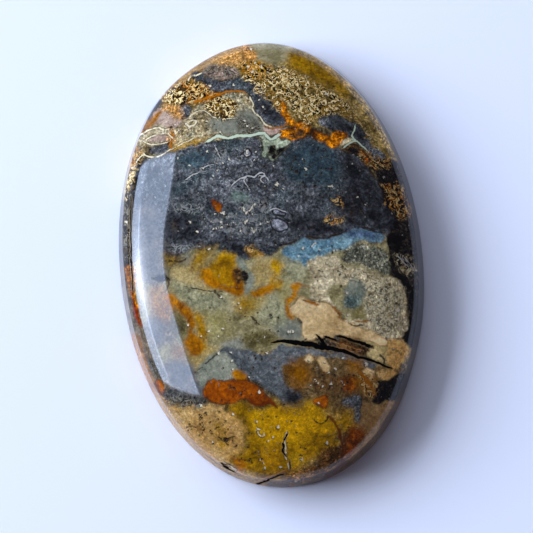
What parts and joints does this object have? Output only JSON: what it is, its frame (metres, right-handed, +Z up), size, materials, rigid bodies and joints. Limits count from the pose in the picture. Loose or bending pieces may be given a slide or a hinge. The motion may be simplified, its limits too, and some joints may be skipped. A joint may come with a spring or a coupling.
{
  "type": "palm root agate cabochon",
  "caption": "Oval polished agate cabochon with a low dome, a rounded shoulder and a flat back, patterned in slate, sage, ochre and orange.",
  "frame": {"origin": "middle of the oval, on the flat back that the stone rests on", "axes": "+Z up through the dome, +Y along the oval's long axis towards the end at the top of the picture, +X across the oval"},
  "size_m": [0.026, 0.0384, 0.0066],
  "materials": {
    "agate": "polished dome, lapped back, slate with sage, ochre, cream and orange markings"
  },
  "bodies": {
    "root": {"cabochon": "agate"}
  },
  "joints": []
}
